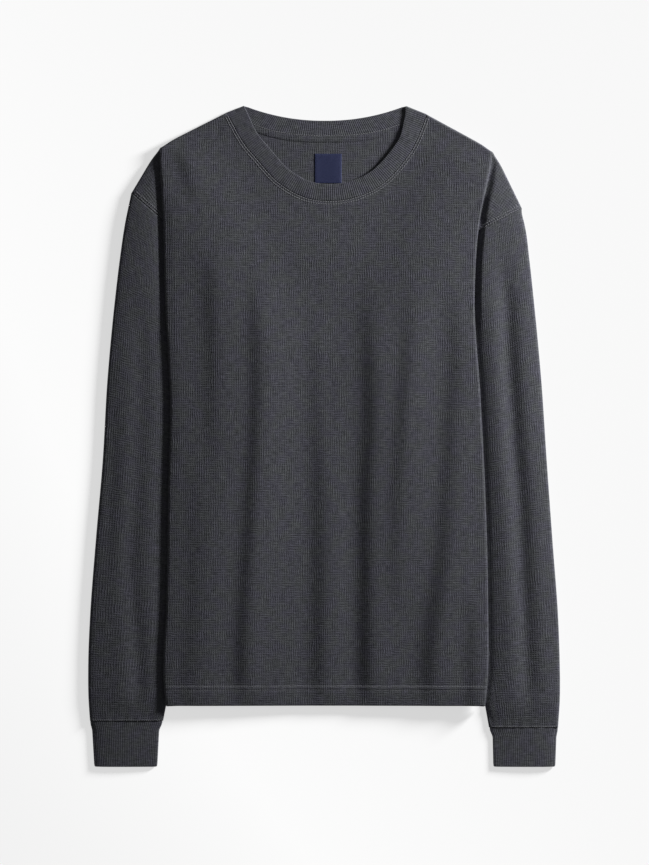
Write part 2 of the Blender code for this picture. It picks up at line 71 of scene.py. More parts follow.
# Body
HEM_Y = -323.7
BODY_LOFT = 2.5
EDGE_LOFT = 0.8  # of that, what rises close to the folded edges
EDGE_RAMP = {"left": 13.0, "right": 0.1}
NECK_LOFT = 0.35
NECK_PRESSED = 0.2  # of the loft, what is left beside the neckband
NECK_RIM = 2.4
PRESSED = 3.1
TUCK_MARGIN, TUCK_RAMP = 8.0, 40.0
SEAM_MARGIN, SEAM_RAMP = 16.0, 35.0
FRONT_RAMP = 120.0  # the front bridges what lies under it more gently
HEM_WIDTH = 24.0
HEM_STEP = 0.5
HEM_ROUND = 1.6
HEM_STITCHES = (19.0, 23.6)  # the two rows of stitching, measured up from the edge
STITCH_DIP, STITCH_WIDTH = 0.35, 0.9  # how far the stitching pulls the hem down, and how near it
FOLD_TIGHT = {"left": 1.0, "right": 0.15}  # how round the folded edges are, seen from above
POINT_UNDERCUT = 0.3
SIDE_SLOPE, SHOULDER_SLOPE, NECK_SLOPE = 90.0, 36.0, 80.0  # over which the body rises from each edge
SLOPE_Y, SLOPE_RAMP = 80.0, 120.0  # above which the right side has such a slope
YOKE_Y, YOKE_RAMP, YOKE_HALF, YOKE_SIDES = 250.0, 90.0, 185.0, 60.0  # where the neck's loft is the least

# Shoulders
KINK_REACH, KINK_DRAW = 13.0, 2.0

# Neck
BAND_WIDTH = 20.4
TAPE_TOP, TAPE_WIDTH, TAPE_HEIGHT = 6.6, 11.0, 1.2  # over the band's seam inside the back
TAPE_REACH = 0.74
TAPE_STITCH = 4.8
BAND_LIFT = 0.15
BAND_CROWN = 0.5
BAND_END_GAP = -0.8
BACK_SEAM = Arc(2.85, 120.3, 356.7, 31.6, 2.7)
BACK_EDGE = Arc(1.1, 97.2, 379.5, 18.0, 2.1)
BACK_NECK_REACH = 0.955
BACK_INSET = 1.6
BACK_EDGE_GAP = 1.5
NECK_STITCHES = (0.7, 3.6)  # the two rows beside the band, measured out from its seam
LABEL_X, LABEL_Y, LABEL_WIDTH, LABEL_HEIGHT = 4.8, 321.9, 32.6, 35.6
LABEL_WALL, LABEL_RISE, TAPE_WALL = 0.45, 0.35, 0.4

# Sleeves and cuffs
SLEEVE_LOFT = {"left": 3.2, "right": 3.5}
SHOULDER_LENGTH = 90.0  # down the sleeve until it has its full loft
CUFF_SHARE = {"left": 0.60, "right": 0.46}  # of that loft, what is left at the cuff
ABOVE_JOINT = 120.0  # how far the armhole seam's line is drawn on above the fold
CUFF_SHOULDER = 4.0  # how much further in the sleeve's tucked edge lies than the cuff's
CUFF_FALL = 34.0  # over which the sleeve comes down to the cuff
SLEEVE_NOSE = 3.0
CREVICE = 3.0
LIP = {"left": (1.1, 30.0), "right": (1.6, 12.0)}  # beside the body's fold at the shoulder: height, reach
LIP_RISE, LIP_TOP, LIP_END_Y, LIP_END = 5.0, 40.0, 110.0, 60.0  # over which it comes and goes
JOINT_GAP = 0.5
JOINT_STEP = 0.3
CUFF_LEVEL = 2.8
CUFF_LOFT = 1.7
CUFF_TAPER = 0.4  # of that loft, what is lost by its end
BELOW_HEM = 22.0  # over which the sleeve comes out from beside the body
CUFF_SKEW = 0.65  # under 1, the cuff is highest towards its outer edge
CUFF_TUCK = 2.0  # what of the cuff lies inside the end of the sleeve
CUFF_FLARE = 13.0  # over which the cuff narrows from the sleeve
CUFF_Y = -397.5
CUFF_CORNER = 2.2
CUFF_PUCKER, PUCKER_REACH, PUCKER_WAVE, PUCKER_DRIFT = 0.14, 11.0, 1.9, 9.0  # beside the cuff's seam
ARMHOLE_STITCHES = (1.3, 4.4)
CUFF_STITCH = 0.9
TUCKED_RINGS = ((6.0, 2.2), (2.0, 2.0), (0.4, 1.0))  # of the armhole's allowance: how far back, how far down

# Thread: half its width, and the length of a stitch
THREADS = {
    "neck_coverstitch": (0.42, 3.0),
    "hem_coverstitch": (0.26, 3.2),
    "armhole_coverstitch_left": (0.44, 3.0),
    "armhole_coverstitch_right": (0.38, 3.0),
    "back_neck_coverstitch": (0.30, 3.0),
    "cuff_stitch_left": (0.30, 2.6),
    "cuff_stitch_right": (0.30, 2.6),
}
STITCH_GAP = 0.3
HEM_STITCH_ENDS, CUFF_STITCH_ENDS = 5.0, 3.5  # how far inside the cloth's edges a row stops
FRONT_SUNK, ARMHOLE_SUNK, CUFF_SUNK = 0.06, 0.12, 0.02  # how far its middle lies into the cloth
THREAD_SIDES = 6
STITCH_PROFILE = (  # share of its length, share of its width, rise
    (0.0, 0.6, -0.15),
    (0.2, 0.95, 0.05),
    (0.5, 1.0, 0.15),
    (0.8, 0.95, 0.05),
    (1.0, 0.6, -0.15),
)

# Knit
WAFFLE = 2.75  # from one pocket of the waffle to the next
RIB = 2.4  # from one rib to the next
RIB_RELIEF = 0.07
CUFF_RELIEF = 0.035
SHOULDER_TURN = 38.0  # degrees that the knit turns beyond the fold on a shoulder
DARK_YARN, LIGHT_YARN = (0.030, 0.031, 0.036, 1.0), (0.125, 0.127, 0.140, 1.0)
COOL, WARM = (0.98, 0.96, 1.10, 1.0), (1.0, 1.03, 1.01, 1.0)

# How finely the sheets are divided
SHOULDER_STEPS, NECK_STEPS = 26, 86
YOKE_STEPS, BODY_STEPS, HEM_STEPS = 38, 128, 26
POINT_STEPS = 14
FACING_STEPS = 10
SLEEVE_STEPS = 170
FOLD_ANGLES = np.radians([90, 65, 40, 15, -10, -35, -60, -90])
RIM_ANGLES = np.radians([0, 12, 25, 38, 52, 66, 78, 90])

# The two sides, where a cuff's edges are given as x
LEFT = Side(
    name="left",
    sign=-1,
    kink=Point(-198.5, 348.3),
    tip=Point(-231.7, 292.5),
    joint=Point(-193.5, 260.0),
    armpit=Point(-105.0, 110.0),
    neck=Point(-117.4, 389.2),
    cuff_top=Edges(-279.7, -197.5),
    cuff_end=Edges(-276.3, -200.5),
    cuff_seam_y=-342.0,
)
RIGHT = Side(
    name="right",
    sign=1,
    kink=Point(204.5, 342.9),
    tip=Point(238.0, 273.9),
    joint=Point(187.0, 247.0),
    armpit=Point(118.0, 95.0),
    neck=Point(123.1, 387.3),
    cuff_top=Edges(279.9, 202.3),
    cuff_end=Edges(278.1, 203.5),
    cuff_seam_y=-350.0,
)
SIDES = (LEFT, RIGHT)
BAND_END = {"left": Point(-96.1, 397.5), "right": Point(98.3, 397.3)}

# The two folded edges of the body: (y, left, right)
BODY_EDGE = (
    (348.3, -198.5, 205.5), (260.0, -193.5, 187.0), (165.0, -190.9, 180.7), (45.0, -185.0, 187.7),
    (-75.0, -187.2, 193.6), (-195.0, -189.1, 196.6), (-300.0, -192.3, 195.6), (HEM_Y, -190.0, 193.2),
)

# The outer edges of the two sleeves, in the same way
SLEEVE_EDGE = (
    (292.5, -231.7, 229.3), (254.7, -239.5, 241.1), (211.5, -245.8, 247.0), (163.5, -251.5, 252.2),
    (67.5, -260.5, 261.2), (-28.5, -266.1, 267.7), (-124.5, -274.4, 274.6), (-220.5, -281.6, 281.6),
    (-268.5, -283.5, 283.3), (-316.5, -283.2, 283.5), (-350.0, -280.9, 281.4),
)

# The seam of the neckband across the front, from the left shoulder to the right one
NECK_SEAM = (
    LEFT.neck, (-98.8, 355.1), (-82.4, 334.5), (-53.5, 303.5), (-16.3, 284.9),
    (29.2, 284.9), (70.6, 303.5), (103.6, 340.7), (118.8, 373.0), RIGHT.neck,
)

# Folds of the front, which rise towards +X: (x, y, height from the trough up to the ridge beside it)
FRONT_FOLDS = (
    Fold(((-89, 235, 0.6), (-86, 175, 1.6), (-83, 103, 2.3), (-84, 20, 2.8), (-89, -64, 3.0),
          (-95, -160, 3.1), (-100, -245, 3.1), (-101, -340, 3.0)), 10.0),
    Fold(((-16, 180, 0.5), (-12, 103, 1.6), (-11, 20, 1.9), (-8, -64, 2.8), (-7, -160, 3.4),
          (-8, -245, 3.5), (-10, -340, 3.3)), 12.0),
    Fold(((50, 225, 0.4), (50, 163, 1.0), (52, 103, 2.2), (53, 20, 3.0), (49, -64, 3.6),
          (48, -160, 3.9), (48, -245, 4.1), (48, -340, 3.8)), 11.0),
    Fold(((103, 210, 0.4), (101, 150, 0.9), (97, 91, 1.8), (91, 20, 2.0), (86, -64, 1.8),
          (83, -136, 1.2), (84, -230, 0.4)), 10.0),
    Fold(((144, 240, 0.5), (151, 163, 1.2), (155, 103, 2.0), (150, 10, 2.3), (146, -64, 2.5),
          (140, -148, 2.7), (131, -208, 2.9), (125, -256, 3.1), (121, -340, 2.6)), 11.5),
    Fold(((174, -180, 0.5), (175, -245, 1.5), (176, -340, 1.7)), 9.0),
    Fold(((-138, 235, 0.6), (-139, 163, 1.4), (-136, 91, 1.5), (-137, 20, 0.9), (-130, -40, 0.3)), 9.5),
    Fold(((-158, -20, 0.4), (-158, -196, 1.1), (-165, -340, 1.3)), 12.0),
    Fold(((-182, 356, 0.8), (-179, 347, 1.3), (-173, 331, 1.7), (-168, 317, 1.6), (-163, 301, 1.2),
          (-157, 280, 0.5)), 8.0),
)

# Troughs down each sleeve: (x, y, depth)
SLEEVE_TROUGHS = {
    "left": (
        Fold(((-226, 180, 0.3), (-221, 127, 0.6), (-220, 43, 0.6), (-223, -16, 0.6), (-226, -76, 0.7),
              (-231, -136, 0.9), (-229, -196, 0.9), (-224, -256, 1.3), (-222, -345, 1.4)), 10.0),
        Fold(((-252, 60, 0.2), (-256, -60, 0.5), (-262, -180, 0.2)), 8.0),
    ),
    "right": (
        Fold(((208, 262, 0.3), (215, 200, 1.0), (219, 163, 1.8), (221, 103, 2.3), (225, 43, 2.4),
              (229, -16, 2.4), (234, -76, 2.3), (237, -136, 2.2), (240, -196, 2.0), (243, -256, 1.8),
              (246, -345, 1.5)), 10.0),
    ),
}


# Curves and blends


def smooth_curve(points, count):
    """count + 1 points evenly spaced along a smooth curve through the given ones."""
    last = len(points) - 1
    places = np.linspace(0, last, 16 * last + 1)
    columns = [smooth_function(range(last + 1), column)(places) for column in np.array(points).T]
    return spaced(np.column_stack(columns), count)


def running(steps):
    """Steps added up from 0."""
    return np.concatenate([[0.0], np.cumsum(steps)])


def run_along(points):
    """The distance along a polyline at each of its points."""
    return running(np.linalg.norm(np.diff(np.asarray(points, float), axis=0), axis=1))


def resampled(points, run, at):
    """The points of a polyline at other values of what runs along it."""
    return np.column_stack([np.interp(at, run, column) for column in np.asarray(points, float).T])


def spaced(points, count):
    """count + 1 points evenly spaced along a polyline."""
    run = run_along(points)
    return resampled(points, run, np.linspace(0, run[-1], count + 1))


def smooth_function(knots, values):
    """A smooth function through values at rising knots."""
    knots, values = np.asarray(knots, float), np.asarray(values, float)
    slopes = np.gradient(values, knots)

    def at(place):
        place = np.clip(place, knots[0], knots[-1])
        i = np.clip(np.searchsorted(knots, place) - 1, 0, len(knots) - 2)
        width = knots[i + 1] - knots[i]
        t = (place - knots[i]) / width
        ends = values[i] * (1 + 2 * t) * (1 - t) ** 2 + values[i + 1] * t**2 * (3 - 2 * t)
        return ends + width * (slopes[i] * t * (1 - t) ** 2 - slopes[i + 1] * t**2 * (1 - t))

    return at


def edges_of(table):
    """A smooth function of a side and of y, from rows of y, left and right."""
    ys, left, right = np.array(table[::-1]).T
    along = {"left": smooth_function(ys, left), "right": smooth_function(ys, right)}
    return lambda side, y: along[side.name](y)


edge_x = edges_of(BODY_EDGE)
outer_x = edges_of(SLEEVE_EDGE)


def ease(t):
    """0 up to 0, 1 from 1 on, and a soft S between them."""
    t = np.clip(t, 0.0, 1.0)
    return t * t * (3 - 2 * t)


def mix(a, b, t):
    return a + (b - a) * t


def bell(x):
    return np.exp(-x * x)


def arch(share):
    """0 at both ends and 1 in the middle."""
    return 4 * share * (1 - share)


def rounding(distance, radius):
    """What a rounded edge takes off, at a distance inside it."""
    return radius * (1 - np.sqrt(1 - np.clip(1 - distance / radius, 0, 1) ** 2))


def unit(vector):
    return vector / np.linalg.norm(vector)


# Where things lie in plan


def tuck_x(side, y):
    """The hidden edge of the tucked sleeve: the armhole seam down to the armpit, then the sleeve's fold."""
    slope = (side.armpit.x - side.joint.x) / (side.joint.y - side.armpit.y)
    stops = (side.cuff_seam_y, side.armpit.y, side.joint.y, side.joint.y + ABOVE_JOINT)
    end = side.cuff_top.inner - CUFF_SHOULDER * side.sign
    places = (end, side.armpit.x, side.joint.x, side.joint.x - ABOVE_JOINT * slope)
    return np.interp(y, stops, places)


def side_seam_x(side, y):
    """The side seam, turned under the body, and the armhole seam above it."""
    return np.where(y < side.armpit.y, side.armpit.x, tuck_x(side, y))


def inward(side, line_x, x):
    """How far x lies from a line, towards the middle of the body."""
    return side.sign * (line_x - x)


def below_shoulder(side, x, y):
    """Distance of a point below the shoulder line of one side."""
    run, rise = side.neck.x - side.kink.x, side.neck.y - side.kink.y
    return (side.kink.y - y + (x - side.kink.x) * rise / run) * abs(run) / math.hypot(run, rise)


def across_fold(fold, x, y):
    """Where points lie across a fold, in half widths to its right, and the fold's size beside them."""
    points = np.asarray(fold.points, float)
    plan = points[:, :2] - points[0, :2]
    length = np.linalg.norm(plan[-1])
    along = plan[-1] / length
    across = np.array([-along[1], along[0]])
    stations = plan @ along
    x, y = x - points[0, 0], y - points[0, 1]
    run, off = x * along[0] + y * along[1], x * across[0] + y * across[1]
    off = (off - smooth_function(stations, plan @ across)(run)) / fold.half_width
    share = run / length
    fade = ease(share * 5 + 0.1) * ease((1 - share) * 10)
    return off * np.sign(across[0]), smooth_function(stations, points[:, 2])(run) * fade


def front_folds(x, y):
    """Each fold falls gently into a trough and rises steeply out of it."""
    height = 0.0
    for fold in FRONT_FOLDS:
        off, size = across_fold(fold, x, y)
        height = height + size * (np.tanh(off) - np.tanh(off / 3.5))
    return height


def sleeve_hollow(side, x, y):
    depth = 0.0
    for fold in SLEEVE_TROUGHS[side.name]:
        off, size = across_fold(fold, x, y)
        depth = depth + size * (bell(off) - 0.25 * (bell((off - 2.1) / 1.1) + bell((off + 2.1) / 1.1)))
    return depth


def distance_to(line, x, y):
    """Distance of points to a polyline in plan."""
    best = np.full(np.shape(x), 1e9)
    for (ax, ay), (bx, by) in zip(line, line[1:]):
        dx, dy = bx - ax, by - ay
        t = np.clip(((x - ax) * dx + (y - ay) * dy) / (dx * dx + dy * dy), 0, 1)
        best = np.minimum(best, np.hypot(x - ax - t * dx, y - ay - t * dy))
    return best


NECKLINE = smooth_curve(NECK_SEAM, NECK_STEPS)


# Heights


def near_sides(lines, margin, ramp, x, y):
    """1 beyond a line on either side, which falls to 0 further in."""
    return np.maximum(*(1 - ease((inward(side, lines(side, y), x) - margin) / ramp) for side in SIDES))


def sleeve_lift(x, y, ramp=TUCK_RAMP):
    """The least height of what lies on the tucked halves of the sleeves."""
    return (PRESSED + SEAM_GAP) * near_sides(tuck_x, TUCK_MARGIN, ramp, x, y)


def back_under(x, y, ramp=SEAM_RAMP, sleeve_ramp=TUCK_RAMP):
    """The underside of the back, which lies on the surface between the turned-under sides."""
    plies = near_sides(side_seam_x, SEAM_MARGIN, ramp, x, y)
    return sleeve_lift(x, y, sleeve_ramp) + (WALL + PLY_GAP) * plies


def front_top(x, y, sewn=True):
    """The top of the front. Where sewn is false, the hem's step and stitching are left out."""
    loft = np.ones(np.broadcast(x, y).shape)
    rim = loft
    for side in SIDES:
        from_edge = inward(side, edge_x(side, y), x)
        lowered = 1.0 if side is LEFT else ease((y - SLOPE_Y) / SLOPE_RAMP)
        loft = loft * mix(1.0, ease(from_edge / SIDE_SLOPE), lowered)
        rim = rim * ease(from_edge / EDGE_RAMP[side.name])
        below = (below_shoulder(side, x, y) - NECK_RIM) / SHOULDER_SLOPE
        loft, rim = loft * ease(below), rim * ease(below)
    beside_neck = ease((y - YOKE_Y) / YOKE_RAMP) * ease((YOKE_HALF - np.abs(x)) / YOKE_SIDES)
    rise = EDGE_LOFT * rim + (BODY_LOFT - EDGE_LOFT) * loft
    stand = np.maximum(rise, BODY_LOFT * NECK_LOFT * beside_neck) + rim * front_folds(x, y)
    stand = stand * mix(NECK_PRESSED, 1.0, ease(distance_to(NECKLINE, x, y) / NECK_SLOPE))
    plies = 2 * WALL + PLY_GAP + LEAST_LOFT
    top = back_under(x, y, FRONT_RAMP, FRONT_RAMP) + plies + np.maximum(stand, 0.0)
    if sewn:
        from_hem = y - HEM_Y
        top = top + HEM_STEP * ease((HEM_WIDTH + 1.0 - from_hem) / 1.5)
        top = top - STITCH_DIP * sum(bell((from_hem - row) / STITCH_WIDTH) for row in HEM_STITCHES)
        top = top - rounding(from_hem, HEM_ROUND)
    return top


def sleeve_top(side, x, y):
    """The top of a sleeve, and of the shoulder's point beyond the body's fold."""
    beside_body = edge_x(side, np.maximum(y, HEM_Y)) + side.sign * CREVICE
    inner = mix(side.cuff_top.inner, beside_body, ease((y - HEM_Y) / BELOW_HEM + 1.0))
    share = np.clip((y - side.tip.y) / (side.kink.y - side.tip.y), 0.0, 1.0)
    beyond = mix(side.tip.x, side.kink.x, share)
    outer = np.where(y > side.tip.y, beyond, outer_x(side, y))
    across = np.clip((inner - x) / (inner - outer), 0.0, 1.0)
    loft = SLEEVE_LOFT[side.name] * ease((side.kink.y - y) / SHOULDER_LENGTH)
    loft = loft * mix(CUFF_SHARE[side.name], 1.0, ease((y - side.cuff_seam_y) / CUFF_FALL))
    hump = arch(across) ** mix(0.5, 0.25, across)
    height, reach = LIP[side.name]
    along = ease((side.kink.y - y) / LIP_TOP) * ease((y - LIP_END_Y) / LIP_END)
    off = inward(side, x, inner)
    lip = height * along * ease(off / LIP_RISE) * np.exp(-np.maximum(off - LIP_RISE, 0.0) / reach)
    waves = np.sin(x / PUCKER_WAVE + 1.7 * np.sin(x / PUCKER_DRIFT))
    pucker = CUFF_PUCKER * bell((y - side.cuff_seam_y) / PUCKER_REACH) * waves
    return PRESSED + lip + np.maximum((loft + pucker - sleeve_hollow(side, x, y)) * hump, -0.6 * hump)


# Making the pieces


def raised(plan, height):
    """Points in plan, lifted to a height that is a function of x and y."""
    return np.concatenate([plan, height(plan[..., 0], plan[..., 1])[..., None]], axis=-1)


def knit_at(along, across):
    """The knit's own coordinates, along its rows and its wales."""
    return np.stack(np.broadcast_arrays(along, across), axis=-1)


def knit_coordinates(points, turn=0.0, about=(0.0, 0.0)):
    """The same from the plan, turned if the cloth is."""
    angle = math.radians(turn)
    x, y = points[..., 0] - about[0], points[..., 1] - about[1]
    return knit_at(x * math.cos(angle) - y * math.sin(angle), x * math.sin(angle) + y * math.cos(angle))


def grid_faces(rows, columns, start):
    index = start + np.arange(rows * columns).reshape(rows, columns)
    corners = (index[:-1, :-1], index[1:, :-1], index[1:, 1:], index[:-1, 1:])
    return np.stack(corners, axis=-1).reshape(-1, 4)


def softened(points):
    """The corners where the shoulders turn down, drawn in a little so that they are round."""
    points = points.copy()
    for side in SIDES:
        towards = unit(shoulder_inset(side) + point_inset(side))
        near = bell(np.linalg.norm(points[:, :2] - side.kink, axis=1) / KINK_REACH)
        points[:, :2] += KINK_DRAW * near[:, None] * towards
    return points


def mesh_of(name, patches):
    """A mesh from grids of points, joined where their borders meet, with the knit as its UV map."""
    points = softened(np.concatenate([grid.reshape(-1, 3) for grid, _ in patches])) * MM
    knit = np.concatenate([uv.reshape(-1, 2) for _, uv in patches]) * MM
    faces, start = [], 0
    for grid, _ in patches:
        faces.append(grid_faces(*grid.shape[:2], start))
        start += grid.shape[0] * grid.shape[1]
    faces = np.concatenate(faces)
    mesh = bpy.data.meshes.new(name)
    mesh.from_pydata(points.tolist(), [], faces.tolist())
    layer = mesh.uv_layers.new(name="knit")
    layer.uv.foreach_set("vector", knit[faces.ravel()].astype(np.float32).ravel())
    shape = bmesh.new()
    shape.from_mesh(mesh)
    bmesh.ops.remove_doubles(shape, verts=shape.verts, dist=0.004 * MM)
    bmesh.ops.dissolve_degenerate(shape, edges=shape.edges, dist=0.004 * MM)
    shape.to_mesh(mesh)
    shape.free()
    mesh.shade_smooth()
    return mesh


def placed(name, data):
    """A new object in the scene."""
    thing = bpy.data.objects.new(name, data)
    bpy.context.scene.collection.objects.link(thing)
    return thing


def add_piece(name, mesh, material, node=None):
    piece = placed(name, mesh)
    mesh.materials.append(material)
    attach(piece, "root")
    if node:
        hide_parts(node)
    return piece


def add_cloth(name, patches, material, node=None, wall=None):
    """A piece of cloth from its outer face. The wall goes inwards, unless the patches have both faces."""
    piece = add_piece(name, mesh_of(name, patches), material, node)
    if wall:
        solid = piece.modifiers.new("wall", "SOLIDIFY")
        solid.thickness = wall * MM
        solid.offset = -1.0
        solid.use_quality_normals = True
    return piece


def closed_ring(base, relief):
    """A doubled rib: both faces of a ring, rounded together at its two edges, with the ribs on each."""
    down = np.gradient(base, axis=0)
    padded = np.concatenate([base[:, -2:-1], base, base[:, 1:2]], axis=1)
    along = np.gradient(padded, axis=1)[:, 1:-1]
    normal = np.cross(down, along)
    normal /= np.linalg.norm(normal, axis=-1, keepdims=True)
    middle = base - normal * RIB_WALL / 2
    run = running(np.linalg.norm(np.diff(base, axis=0), axis=-1).mean(axis=1))
    from_edge = np.minimum(run, run[-1] - run) / (RIB_WALL / 2)
    inside = np.clip(from_edge, 0, 1)[:, None, None]
    half = RIB_WALL / 2 * np.sqrt(1 - (1 - inside) ** 2) + relief * inside
    outer, inner = middle + normal * half, middle - normal * half
    return np.concatenate([outer, inner[::-1], outer[:1]], axis=0)


def rib_places(length, steps):
    """Places round a ring, a number of steps to each rib, and the phase of the ribs there."""
    ribs = round(length / RIB)
    places = np.linspace(0, length, ribs * steps + 1)
    return places, places * 2 * math.pi * ribs / length


def add_rib(name, base, phase, relief, material, node, down=1.0):
    grid = closed_ring(base, relief * np.cos(phase)[None, :, None])
    knit = knit_at(phase[None, :] * RIB / 2 / math.pi, run_along(grid[:, 3])[:, None] * down)
    return add_cloth(name, [(grid, knit)], material, node)


def edge_rows(count, width):
    """Shares across a band, close together at its two rounded edges."""
    fine = np.array([0.0, 0.08, 0.25, 0.5, 0.8, 1.2]) * RIB_WALL / 2 / width
    return np.concatenate([fine, np.linspace(fine[-1], 1 - fine[-1], count)[1:-1], 1 - fine[::-1]])


# The front


def beside(side, a, b):
    """The unit vector in plan across the line between two points of a side."""
    run, rise = b.x - a.x, b.y - a.y
    return np.array([rise, -run]) * side.sign / math.hypot(run, rise)


def shoulder_inset(side):
    """In plan, from the silhouette of a shoulder to the top of its rounded edge."""
    return NECK_RIM * beside(side, side.neck, side.kink)


def point_inset(side):
    """The same, beyond the kink, where the silhouette turns down to the dropped shoulder's point."""
    return NECK_RIM * beside(side, side.kink, side.tip)


def shoulder_line(side, inset, steps=SHOULDER_STEPS):
    """Points of one shoulder from the kink to the neckband, on its silhouette or inside it."""
    line = spaced([side.kink, side.neck], steps)
    from_kink = np.clip(np.linspace(0, 6, len(line)), 0, 1)[:, None]
    corner = (shoulder_inset(side) + point_inset(side)) / 2
    return line + inset * mix(corner, shoulder_inset(side), from_kink)


def neck_corner(side):
    """Where the neckline leaves the rounded edge of a shoulder."""
    line = (NECKLINE if side is LEFT else NECKLINE[::-1])[:12]
    below = below_shoulder(side, line[:, 0], line[:, 1])
    return resampled(line, below, NECK_RIM)[0]


def low_level(side, y):
    """What the body's folded edge comes down to: the shoulder's point, then the tucked sleeve."""
    x = edge_x(side, y)
    above = ease((y - side.joint.y + 12.0) / 24.0)
    joint = JOINT_STEP * ease(1 - np.abs(y - side.joint.y) / 24.0)
    return mix(sleeve_lift(x, y), sleeve_top(side, x, y), above) + joint


def fold_radius(side, y):
    """Half the height of the body's folded edge, which grows from nothing at the kink."""
    return np.maximum(front_top(edge_x(side, y), y, sewn=False) - low_level(side, y), 0.4) / 2


def front_edge_x(side, y):
    """Where the top of the front begins to turn down round its folded edge."""
    return edge_x(side, y) - side.sign * fold_radius(side, y) * FOLD_TIGHT[side.name]


def panel_rows(top, share, edge_at, bend, downs):
    """Rows of a panel in plan, from its top edge down to its hem, each from one side edge to the other."""
    start_y = mix(LEFT.joint.y, RIGHT.joint.y, share)

    def across(ys):
        return np.column_stack([mix(edge_at(LEFT, ys[0]), edge_at(RIGHT, ys[-1]), share), ys])

    rows = [top]
    for step in range(1, YOKE_STEPS):
        row = mix(top, across(start_y), (step / YOKE_STEPS) ** bend)
        row[0, 0], row[-1, 0] = edge_at(LEFT, row[0, 1]), edge_at(RIGHT, row[-1, 1])
        rows.append(row)
    return np.array(rows + [across(mix(start_y, HEM_Y, down)) for down in downs])


def row_shares():
    """Shares of the way down from the joints to the hem, closer together along the hem's stitching."""
    length = LEFT.joint.y - HEM_Y
    hem = 1 - (HEM_WIDTH + 4.0) / length
    edge = 1 - HEM_ROUND * 1.2 / length
    fine = np.linspace(hem, edge, HEM_STEPS + 1)[1:]
    return np.concatenate([np.linspace(0, hem, BODY_STEPS + 1), fine, np.linspace(edge, 1, 6)[1:]])


def front_grid():
    """Rows of the front in plan, from its shoulders and neckline down to its hem."""
    below = np.minimum(*(below_shoulder(side, NECKLINE[:, 0], NECKLINE[:, 1]) for side in SIDES))
    neck = NECKLINE[below > NECK_RIM + 0.8]
    top = np.vstack([shoulder_line(LEFT, 1.0), neck, shoulder_line(RIGHT, 1.0)[::-1]])
    top[SHOULDER_STEPS], top[-SHOULDER_STEPS - 1] = neck_corner(LEFT), neck_corner(RIGHT)
    return panel_rows(top, np.linspace(0, 1, len(top)), front_edge_x, 1.3, row_shares())


def fold_patch(side, top_points):
    """Round the folded edge of the body, from its top to its underside: its points and knit."""
    x, y, z = (top_points[:, k : k + 1] for k in range(3))
    radius = fold_radius(side, y)
    radius[0] = 0.0
    undercut = mix(1.0, POINT_UNDERCUT, ease((y - side.joint.y + 12.0) / 12.0))
    tight = np.where(FOLD_ANGLES < 0, undercut, FOLD_TIGHT[side.name])
    edge = edge_x(side, y) - side.sign * radius * (1 - np.cos(FOLD_ANGLES)) * tight
    height = z - radius + radius * np.sin(FOLD_ANGLES)
    grid = np.stack(np.broadcast_arrays(edge, y, height), axis=-1)
    grid[0] = top_points[0]
    return grid, knit_at(x + side.sign * radius * (math.pi / 2 - FOLD_ANGLES), y)


def point_patch(side, fold_ends):
    """The front beyond the body's fold, from the fold out to the silhouette and the armhole seam."""
    tip = np.array(side.tip) + point_inset(side)
    kink, joint = fold_ends[0, :2], fold_ends[-1, :2]
    half = YOKE_STEPS // 2
    shares = np.linspace(0, 1, POINT_STEPS + 1)
    rows = []
    for step, start in enumerate(fold_ends):
        end = mix(kink, tip, step / half) if step <= half else mix(tip, joint, (step - half) / half)
        plan = start[:2] + shares[:, None] * (end - start[:2])
        height = sleeve_top(side, plan[:, 0], plan[:, 1])
        onto = ease(min(step / 4, (YOKE_STEPS - step) / 8)) * ease(shares * 5)
        rows.append(np.column_stack([plan, mix(start[2], height, onto)]))
    grid = np.array(rows)
    return grid, knit_coordinates(grid, SHOULDER_TURN * side.sign, side.kink)


def rim_patch(side, outline):
    """The rounded edge that closes the shoulder, from its underside to its top."""
    half = len(outline) - SHOULDER_STEPS - 1
    beyond = [mix(np.array(side.tip), np.array(side.kink), step / half) for step in range(half)]
    silhouette = np.vstack([beyond, shoulder_line(side, 0.0)])
    underside = np.column_stack([silhouette, np.full(len(silhouette), SEAM_GAP)])
    turns = [(1 - math.cos(angle), 1 - math.cos(angle), math.sin(angle)) for angle in RIM_ANGLES]
    return np.array([mix(underside, outline, np.array(turn)) for turn in turns])


def facing_patch(side, ends):
    """The underside of the turned-under cloth, from the fold to the side seam or the armhole seam."""
    shares = np.linspace(0, 1, FACING_STEPS + 1)[None, :]
    x = mix(ends[:, :1], side_seam_x(side, ends[:, 1:2]), shares)
    y = np.repeat(ends[:, 1:2], FACING_STEPS + 1, axis=1)
    grid = np.stack([x, y, sleeve_lift(x, y)], axis=-1)
    grid[:, 0] = ends
    return grid


def from_side(side, grid):
    """Turns columns that run from -X into ones that run from the side's own edge, and back."""
    return grid if side is LEFT else grid[:, ::-1]


def make_front(material):
    grid = raised(front_grid(), front_top)
    patches = [(grid, knit_coordinates(grid))]
    for side in SIDES:
        top = from_side(side, grid)
        fold, fold_knit = fold_patch(side, top[:, 0])
        point, point_knit = point_patch(side, fold[: YOKE_STEPS + 1, -1])
        facing = facing_patch(side, fold[YOKE_STEPS + 1 :, -1])
        for shape, knit in ((fold, fold_knit), (point, point_knit), (facing, knit_coordinates(facing))):
            patches.append((from_side(side, shape[:, ::-1]), from_side(side, knit[:, ::-1])))
        outline = np.vstack([point[YOKE_STEPS // 2 : 0 : -1, -1], top[0, : SHOULDER_STEPS + 1]])
        rim = from_side(side, rim_patch(side, outline))
        patches.append((rim, knit_coordinates(rim)))
    return add_cloth("front_knit", patches, material, "front", THIN_WALL)


# The back


